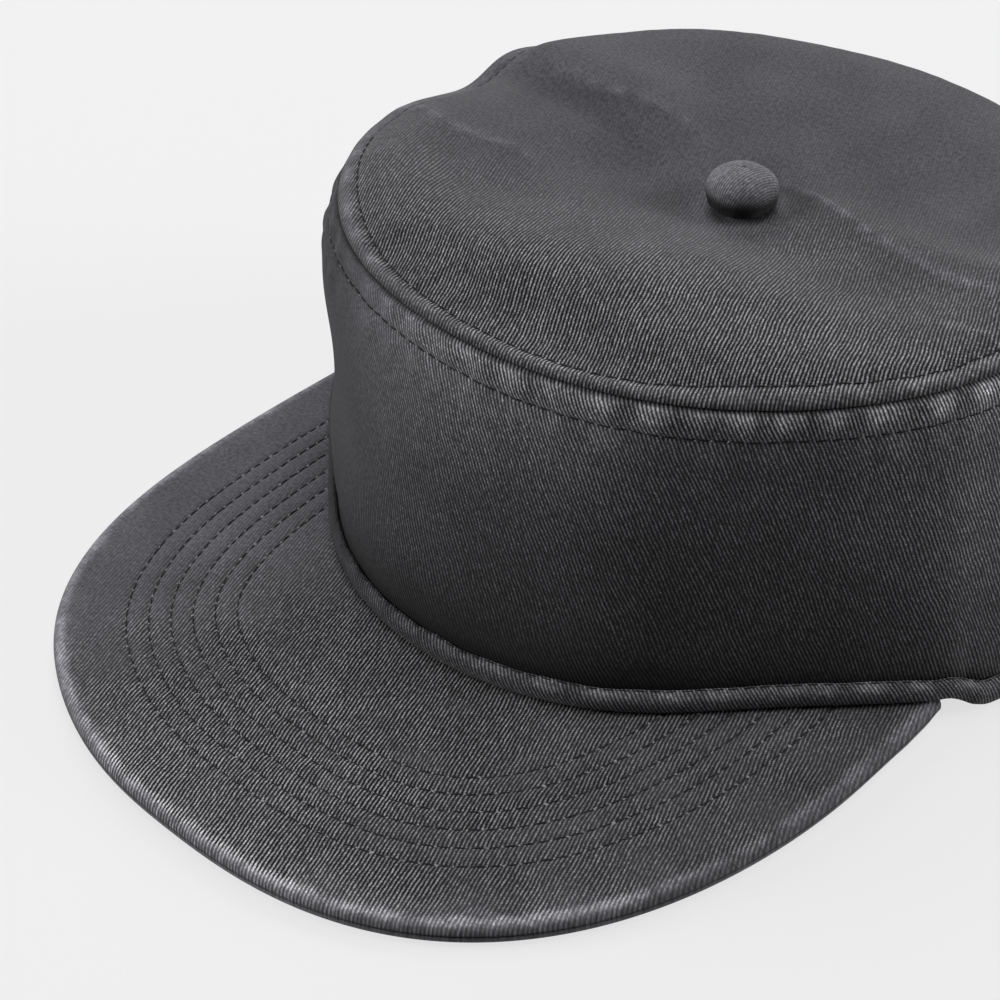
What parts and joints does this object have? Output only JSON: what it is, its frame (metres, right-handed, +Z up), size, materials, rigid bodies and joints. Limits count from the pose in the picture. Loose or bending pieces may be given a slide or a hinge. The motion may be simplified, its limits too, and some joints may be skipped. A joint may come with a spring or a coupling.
{
  "type": "flat brim baseball cap",
  "caption": "Flat brim cloth cap with a round, flat-topped crown, a covered button, a rolled hem and a broad flat visor.",
  "frame": {"origin": "bottom centre of the cap's box, on the surface it rests on, under the front of the crown", "axes": "+Z up through the crown, the visor towards -Y, +X to the wearer's left"},
  "size_m": [0.1933, 0.2615, 0.0787],
  "materials": {
    "crown_twill": "matte washed cotton twill",
    "panel_twill": "matte washed cotton twill",
    "visor_twill": "matte washed cotton twill"
  },
  "bodies": {
    "root": {"crown_wall": "crown_twill", "base_hem": "crown_twill", "crown_top": "panel_twill", "top_button": "panel_twill", "visor_top_cover": "visor_twill", "visor_under_cover": "visor_twill"}
  },
  "joints": []
}
